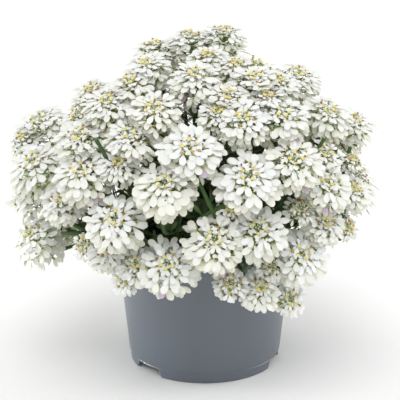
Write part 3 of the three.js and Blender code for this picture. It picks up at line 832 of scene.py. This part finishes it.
def clear_of_all(tips, middles, heads):
    """Leaves that don't poke through a head, the pot's wall or the soil, or out of the crown."""
    clear = crown_level(tips) < TIPS_WITHIN
    for points in (tips, middles):
        for head in heads:
            away = points - head["centre"]
            rise = away @ head["axis"] / head["radius"]
            reach = np.linalg.norm(away, axis=1) / head["radius"]
            clear &= ~((rise > HEAD_UNDERSIDE) & (reach < HEAD_CLEARANCE))
        wide = np.hypot(points[:, 0], points[:, 1])
        clear &= ~((points[:, 2] < POT_HEIGHT + ABOVE_RIM) & (wide > RIM_RADIUS - INSIDE_RIM))
        clear &= points[:, 2] > SOIL_CROWN_Z + ABOVE_SOIL
    return clear


def add_leaves(form, place, along, heads, rng):
    """Narrow blunt leaves that stand off a stem on a spiral and arch over."""
    n = len(place)
    turn = np.arange(n) * GOLDEN + rng.uniform(0, 2 * math.pi) + stray(rng, LEAF_TURN, n)
    side = unit(np.cross(along, OFF_STEMS))
    other = np.cross(along, side)
    spoke = side * np.cos(turn)[:, None] + other * np.sin(turn)[:, None]
    spread = np.radians(rng.uniform(*LEAF_SPREAD, n))[:, None]
    out = along * np.cos(spread) + spoke * np.sin(spread)
    normal = along * np.sin(spread) - spoke * np.cos(spread)
    length = rng.uniform(*LEAF_LENGTH, n)
    droop = rng.uniform(*LEAF_DROOP, n)
    tips = place + out * length[:, None] - normal * (length * droop)[:, None]
    clear = clear_of_all(tips, place + out * (length * 0.6)[:, None], heads)
    body = blades(
        place[clear], out[clear], normal[clear], length[clear], rng.uniform(*LEAF_WIDTH, n)[clear],
        LEAF_OUTLINE, LEAF_THICKNESS, droop[clear], rng.uniform(*LEAF_CUP, n)[clear],
        stray(rng, LEAF_ROLL, n)[clear],
    )
    tints = lerp(LEAF_DARK, LEAF_LIGHT, rng.random((n, 1, 1)) ** 1.5)[clear]
    form.add(body, tints, LEAF)


def add_branch(form, head, trunk, corners, heads):
    rng = np.random.default_rng(SEEDS["branch"] + head["index"])
    path = smooth_path(packed_route(head, trunk, corners))
    count = len(path)
    body = tube(path, np.linspace(*BRANCH_RADII, count), 6)
    wood = np.clip(1 - np.linspace(0, 2.2, count), 0, 1)
    tints = lerp(STEM_GREEN, STEM_WOOD, np.repeat(wood, 6)[:, None])
    tints = np.concatenate([tints[:1], tints, tints[-1:]])[None]
    form.add(body, tints, STEM)
    place, along = even_places(path, LEAF_STEP, 6, 12)
    add_leaves(form, place, along, heads, rng)


def add_shown_stem(form, number, places, heads):
    """A thick leafy stem that comes out of the growth behind, and ends under a head."""
    rng = np.random.default_rng(SEEDS["shown_stem"] + number)
    outer = [on_crown(*place) for place in places]
    inner = lerp(outer[-1], np.array([0, 0, FORK_Z[1]]), SHOWN_STEM_INWARDS)
    path = smooth_path([*outer, inner], 2)
    form.add(tube(path, np.linspace(*SHOWN_STEM_RADII, len(path)), 7), STEM_GREEN, STEM)
    place, along = even_places(path, SHOWN_LEAF_STEP, 1, 1)
    add_leaves(form, place, -along, heads, rng)


def leafy_stem(number, trunk, heads):
    name = f"leafy_stem_{number + 1:02d}"
    corners = np.array([v.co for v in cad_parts[name].data.vertices]) / MM
    form = Form()
    top = trunk + np.array([0, 0, TRUNK_TOP_Z])
    root = trunk + np.array([0, 0, TRUNK_ROOT_Z])
    path = lerp(root[None], top[None], np.linspace(0, 1, 9)[:, None])
    rng = np.random.default_rng(SEEDS["trunk"] + number)
    path[1:-1, :2] += stray(rng, TRUNK_BENDS, (7, 2))
    body = tube(path, TRUNK_RADIUS * rng.uniform(*TRUNK_RADIUS_SPREAD, 9), 10)
    form.add(body, STEM_WOOD, STEM)
    place, along = even_places(path, TRUNK_LEAF_STEP, 24, 2)
    add_leaves(form, place, along, heads, rng)
    for head in heads:
        if trunk_of(head) == number:
            add_branch(form, head, trunk, corners, heads)
    for i, places in enumerate(SHOWN_STEMS):
        if sector_of(on_crown(*places[0])) == number:
            add_shown_stem(form, i, places, heads)
    piece = form.piece(f"stems_and_leaves_{number + 1:02d}", [LOOKS["leaf"], LOOKS["stem"]])
    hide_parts(name)
    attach(piece, "root")


# Soil and pot


def arc(centre, radius, first, last, steps):
    """Profile points round a centre, between two angles in degrees."""
    angles = np.radians(np.linspace(first, last, steps))
    return [(centre[0] + radius * math.cos(a), centre[1] + radius * math.sin(a)) for a in angles]


def body_radius(z):
    return lerp(BODY_FOOT_RADIUS, RIM_RADIUS - LIP_PROUD, z / (POT_HEIGHT - LIP_HEIGHT))


def lathe(profile, segments):
    """A closed body of revolution about Z, whose profile starts and ends on the axis."""
    mesh = bmesh.new()
    rings = []
    for radius, z in profile:
        if radius == 0:
            rings.append([mesh.verts.new((0, 0, z * MM))] * segments)
            continue
        turns = (2 * math.pi * i / segments for i in range(segments))
        rings.append([
            mesh.verts.new((radius * MM * math.cos(a), radius * MM * math.sin(a), z * MM)) for a in turns
        ])
    for low, high in zip(rings, rings[1:]):
        for i in range(segments):
            j = (i + 1) % segments
            corners = dict.fromkeys([low[i], low[j], high[j], high[i]])
            mesh.faces.new(corners)
    return mesh


def pot_profile():
    lip_z = POT_HEIGHT - LIP_HEIGHT
    floor_z = FOOT_HEIGHT + FLOOR
    foot_inside = FOOT_RADIUS - WALL
    neck_z = FOOT_HEIGHT - FOOT_NECK
    body_z = FOOT_HEIGHT + FOOT_ROUND
    return [
        (0, FOOT_HEIGHT),
        (foot_inside - 1, FOOT_HEIGHT),
        (foot_inside, FOOT_HEIGHT - 1),
        *arc((foot_inside + FILLET, FILLET), FILLET, 180, 270, 4),
        *arc((FOOT_RADIUS - EDGE_ROUND, EDGE_ROUND), EDGE_ROUND, 270, 360, 5),
        (FOOT_RADIUS + FOOT_FLARE, neck_z),
        *arc((FOOT_RADIUS + FOOT_FLARE + FILLET, neck_z), FILLET, 180, 100, 4),
        *arc((body_radius(body_z) - BODY_EDGE_ROUND, body_z), BODY_EDGE_ROUND, 275, 354, 5),
        *[(body_radius(z), z) for z in np.linspace(FOOT_HEIGHT + 3, lip_z - 0.6, 9)],
        *arc((body_radius(lip_z) + FILLET, lip_z - FILLET), FILLET, 174, 90, 3),
        *arc((RIM_RADIUS - EDGE_ROUND, lip_z + EDGE_ROUND), EDGE_ROUND, 270, 360, 5),
        *arc((RIM_RADIUS - WALL / 2, POT_HEIGHT - WALL / 2), WALL / 2, 0, 180, 9),
        (RIM_RADIUS - WALL, lip_z + WALL),
        *[(body_radius(z) - WALL, z) for z in np.linspace(lip_z, floor_z + 1, 5)],
        (body_radius(floor_z) - WALL - 1, floor_z),
        (0, floor_z),
    ]


def object_from(mesh, name):
    bmesh.ops.recalc_face_normals(mesh, faces=mesh.faces)
    data = bpy.data.meshes.new(name)
    mesh.to_mesh(data)
    mesh.free()
    return new_object(name, data)


def prism(outline, depth_from, depth_to, turn):
    """A prism along -Y from an outline in X and Z, turned about Z."""
    mesh = bmesh.new()
    c, s = math.cos(math.radians(turn)), math.sin(math.radians(turn))
    ends = []
    for y in (depth_from, depth_to):
        ends.append([
            mesh.verts.new(((c * x - s * y) * MM, (s * x + c * y) * MM, z * MM)) for x, z in outline
        ])
    near, far = ends
    mesh.faces.new(near)
    mesh.faces.new(far[::-1])
    for i in range(len(outline)):
        j = (i + 1) % len(outline)
        mesh.faces.new([near[j], near[i], far[i], far[j]])
    return mesh


def notch_outline():
    """A notch in the foot: round shoulders at the top, and sides that flare out to the ground."""
    top = NOTCH_WIDTH / 2
    bottom = top + NOTCH_FLARE
    high = FOOT_HEIGHT - 0.4
    side = [(bottom + 2, -1), (bottom + 1.2, 0.4), (bottom + 0.3, 1.4)]
    side += [(lerp(bottom, top, 0.75), high - 1.6), *arc((top - 1.6, high - 1.8), 1.8, 30, 90, 4)]
    return side + [(-x, z) for x, z in reversed(side)]


def cut(piece, cutters):
    """Takes the cutters out of a piece, and removes them."""
    for cutter in cutters:
        modifier = piece.modifiers.new("cut", "BOOLEAN")
        modifier.object = cutter
        modifier.solver = "EXACT"
    depsgraph = bpy.context.evaluated_depsgraph_get()
    carved = bpy.data.meshes.new_from_object(piece.evaluated_get(depsgraph))
    piece.modifiers.clear()
    piece.data = carved
    for cutter in cutters:
        bpy.data.objects.remove(cutter)


def make_pot():
    pot = object_from(lathe(pot_profile(), POT_SEGMENTS), "pot_shell")
    cutters = [
        object_from(prism(notch_outline(), -FOOT_RADIUS - 6, -FOOT_RADIUS + 12, azimuth), "notch")
        for azimuth in NOTCH_AZIMUTHS
    ]
    low, high = FOOT_HEIGHT - 1, FOOT_HEIGHT + FLOOR + 1
    plug = [(0, low), (DRAIN_RADIUS, low), (DRAIN_RADIUS, high), (0, high)]
    for i in range(DRAINS):
        centre = around(360 * i / DRAINS, DRAIN_CIRCLE, 0)
        drain = object_from(lathe(plug, DRAIN_SEGMENTS), "drain")
        drain.data.transform(Matrix.Translation(centre * MM))
        cutters.append(drain)
    cut(pot, cutters)
    pot.data.materials.append(LOOKS["pot"])
    shade(pot.data, SHARP_EDGES["pot"])
    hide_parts("pot")
    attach(pot, "root")


def make_soil():
    """A heap of potting soil with a crumbly top."""
    floor_z = FOOT_HEIGHT + FLOOR + SOIL_GAP
    edge = body_radius(SOIL_EDGE_Z) - WALL - SOIL_GAP
    profile = [(0, floor_z), (body_radius(floor_z) - WALL - SOIL_GAP, floor_z), (edge, SOIL_EDGE_Z)]
    for r in np.arange(edge - SOIL_RING_STEP, 1, -SOIL_RING_STEP):
        profile.append((r, lerp(SOIL_CROWN_Z, SOIL_EDGE_Z, (r / edge) ** 4)))
    profile.append((0, SOIL_CROWN_Z))
    mesh = lathe(profile, SOIL_SEGMENTS)
    rng = np.random.default_rng(SEEDS["soil"])
    for vertex in mesh.verts:
        if vertex.co.z > (SOIL_EDGE_Z - 0.1) * MM and vertex.co.xy.length < (edge - 1) * MM:
            vertex.co.z += rng.uniform(*SOIL_CRUMBS) * MM
            vertex.co.x += stray(rng, SOIL_SIDEWAYS) * MM
            vertex.co.y += stray(rng, SOIL_SIDEWAYS) * MM
    soil = object_from(mesh, "soil_heap")
    soil.data.materials.append(LOOKS["soil"])
    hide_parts("soil")
    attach(soil, "root")


# Materials


class Look:
    """A node-based material, built up round one Principled shader."""

    def __init__(self, name, **sockets):
        self.material = bpy.data.materials.new(name)
        self.material.use_nodes = True
        self.nodes = self.material.node_tree.nodes
        self.links = self.material.node_tree.links
        self.shader = self.nodes["Principled BSDF"]
        for socket, value in sockets.items():
            self.shader.inputs[socket.replace("_", " ")].default_value = value

    def node(self, kind, **settings):
        made = self.nodes.new(kind)
        for name, value in settings.items():
            if hasattr(made, name):
                setattr(made, name, value)
            else:
                made.inputs[name.replace("_", " ")].default_value = value
        return made

    def link(self, source, target):
        self.links.new(source, target)

    def noise(self, scale, detail=4.0, roughness=0.55):
        """Noise in the object's own space, with a scale in features per metre."""
        made = self.node("ShaderNodeTexNoise", Scale=scale, Detail=detail, Roughness=roughness)
        self.link(self.node("ShaderNodeTexCoord").outputs["Object"], made.inputs["Vector"])
        return made.outputs["Fac"]

    def ramp(self, fac, stops):
        made = self.node("ShaderNodeValToRGB")
        elements = made.color_ramp.elements
        while len(elements) < len(stops):
            elements.new(0.5)
        for element, (place, colour) in zip(elements, stops):
            element.position = place
            element.color = (*colour, 1)
        self.link(fac, made.inputs["Fac"])
        return made.outputs["Color"]

    def spread(self, fac, low, high):
        """A number between two limits, from noise."""
        made = self.node("ShaderNodeMapRange", From_Min=0.3, From_Max=0.7, To_Min=low, To_Max=high)
        self.link(fac, made.inputs["Value"])
        return made.outputs["Result"]

    def times(self, first, second):
        made = self.node("ShaderNodeMix", data_type="RGBA", blend_type="MULTIPLY")
        made.inputs[0].default_value = 1
        self.link(first, made.inputs[6])
        self.link(second, made.inputs[7])
        return made.outputs[2]

    def bump(self, height, distance):
        made = self.node("ShaderNodeBump", Strength=1.0, Distance=distance)
        self.link(height, made.inputs["Height"])
        self.link(made.outputs["Normal"], self.shader.inputs["Normal"])

    def tint(self):
        return self.node("ShaderNodeAttribute", attribute_name="tint").outputs["Color"]


def tinted(name, noise_scale, low, high, bump, **sockets):
    """The piece's own tints, mottled by noise."""
    look = Look(name, **sockets)
    noise = look.noise(noise_scale)
    mottle = look.ramp(noise, [(0.3, (low,) * 3), (0.7, (high,) * 3)])
    look.link(look.times(look.tint(), mottle), look.shader.inputs["Base Color"])
    look.bump(noise, bump * MM)
    return look.material


def pot_look():
    look = Look("grey_plastic", IOR=1.5, Specular_IOR_Level=1.0)
    broad, grain = look.noise(14, 2), look.noise(2600, 2)
    colour = look.ramp(broad, [(0.3, (0.076, 0.094, 0.118)), (0.7, (0.086, 0.105, 0.131))])
    look.link(colour, look.shader.inputs["Base Color"])
    look.link(look.spread(broad, 0.34, 0.40), look.shader.inputs["Roughness"])
    look.bump(grain, 0.03 * MM)
    return look.material


def soil_look():
    look = Look("peat", Roughness=0.95)
    crumbs = look.noise(420, 6, 0.7)
    stops = [(0.3, (0.012, 0.008, 0.005)), (0.6, (0.05, 0.032, 0.02)), (0.8, (0.13, 0.09, 0.06))]
    colour = look.ramp(crumbs, stops)
    look.link(colour, look.shader.inputs["Base Color"])
    look.bump(crumbs, 1.2 * MM)
    return look.material


LOOKS = {
    "petal": tinted(
        "petal_white", 900, 0.97, 1.02, 0.05, Roughness=0.6,
        Subsurface_Weight=0.12, Subsurface_Scale=0.0015, Subsurface_Radius=(1, 1, 0.9),
    ),
    "stamen": tinted("anther", 3500, 0.8, 1.1, 0.1, Roughness=0.8),
    "bud": tinted("young_green", 1500, 0.9, 1.08, 0.05, Roughness=0.5),
    "leaf": tinted("leaf_green", 500, 0.75, 1.2, 0.12, Roughness=0.42),
    "stem": tinted("stem_green", 700, 0.8, 1.15, 0.15, Roughness=0.75),
    "pot": pot_look(),
    "soil": soil_look(),
}


# Stage

FLOOR_HALF_WIDTH = 12
FLOOR_DROP = 0.0002
FLOOR_WHITE = (0.97, 0.97, 0.97, 1)
WORLD_STRENGTH = 0.76
# Suns: azimuth, elevation, strength, and the angle they fill
SUNS = {"left": (-115, 22, 0.5, 40), "right": (110, 22, 0.8, 40), "top": (-5, 58, 1.0, 50)}
# Low lamps: azimuth and power
LOW_LAMPS = {"low_left": (-97, 520), "low_right": (95, 160)}
LAMP_AWAY = 1600
LAMP_RISE = 30
LAMP_AIM_Z = 12
LAMP_SIZE = 0.12
LAMP_CONE = 3.5
LAMP_BLEND = 0.5


def make_floor():
    mesh = bmesh.new()
    bmesh.ops.create_grid(mesh, x_segments=1, y_segments=1, size=FLOOR_HALF_WIDTH)
    floor = object_from(mesh, "floor")
    floor.location.z = -FLOOR_DROP
    look = Look("floor_white", Roughness=0.9)
    look.shader.inputs["Base Color"].default_value = FLOOR_WHITE
    floor.data.materials.append(look.material)


def new_lamp(light, towards):
    """A lamp whose light comes from where a vector points."""
    lamp = new_object(light.name, light)
    lamp.rotation_mode = "QUATERNION"
    lamp.rotation_quaternion = Vector(towards).to_track_quat("Z", "Y")
    return lamp


def make_sun(name, azimuth, elevation, strength, spread):
    light = bpy.data.lights.new(name, "SUN")
    light.energy = strength
    light.angle = math.radians(spread)
    e = math.radians(elevation)
    new_lamp(light, around(azimuth, math.cos(e), math.sin(e)))


def make_spot(name, azimuth, power):
    """A narrow lamp close to the floor that reaches the pot's side under the crown."""
    light = bpy.data.lights.new(name, "SPOT")
    light.energy = power
    light.shadow_soft_size = LAMP_SIZE
    light.spot_size = math.radians(LAMP_CONE)
    light.spot_blend = LAMP_BLEND
    towards = around(azimuth, LAMP_AWAY, LAMP_RISE)
    target = np.array([0, 0, LAMP_AIM_Z])
    new_lamp(light, towards).location = Vector((target + towards) * MM)


def make_light():
    world = bpy.data.worlds.new("studio")
    world.use_nodes = True
    background = world.node_tree.nodes["Background"]
    background.inputs["Color"].default_value = (1, 1, 1, 1)
    background.inputs["Strength"].default_value = WORLD_STRENGTH
    bpy.context.scene.world = world
    for name, sun in SUNS.items():
        make_sun(name, *sun)
    for name, lamp in LOW_LAMPS.items():
        make_spot(name, *lamp)
    bpy.context.scene.view_settings.view_transform = "Standard"


def make_camera():
    camera = new_object("camera", bpy.data.cameras.new("camera"))
    camera.data.sensor_width = SENSOR_WIDTH
    camera.data.lens = FOCAL_PIXELS * SENSOR_WIDTH / FRAME_PIXELS
    camera.data.shift_x = (FRAME_PIXELS / 2 - AIM_PIXEL[0]) / FRAME_PIXELS
    camera.data.shift_y = (AIM_PIXEL[1] - FRAME_PIXELS / 2) / FRAME_PIXELS
    back = Vector(TO_VIEWER)
    camera.location = Vector((0, 0, VIEW_AIM_Z * MM)) + back * VIEW_DISTANCE * MM
    camera.rotation_mode = "QUATERNION"
    camera.rotation_quaternion = (-back).to_track_quat("-Z", "Y")
    bpy.context.scene.camera = camera


make_camera()
make_light()
make_floor()
make_pot()
make_soil()

heads = lay_out_heads()
for number, (name, members) in enumerate(nodes_of_heads(heads).items(), 1):
    form = Form()
    for head in members:
        add_head(form, fuller(head), [other for other in heads if other is not head])
    piece = form.piece(f"florets_{number:02d}", [LOOKS["petal"], LOOKS["stamen"], LOOKS["bud"]])
    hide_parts(name)
    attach(piece, "root")

for number, trunk in enumerate(trunk_places()):
    leafy_stem(number, trunk, heads)
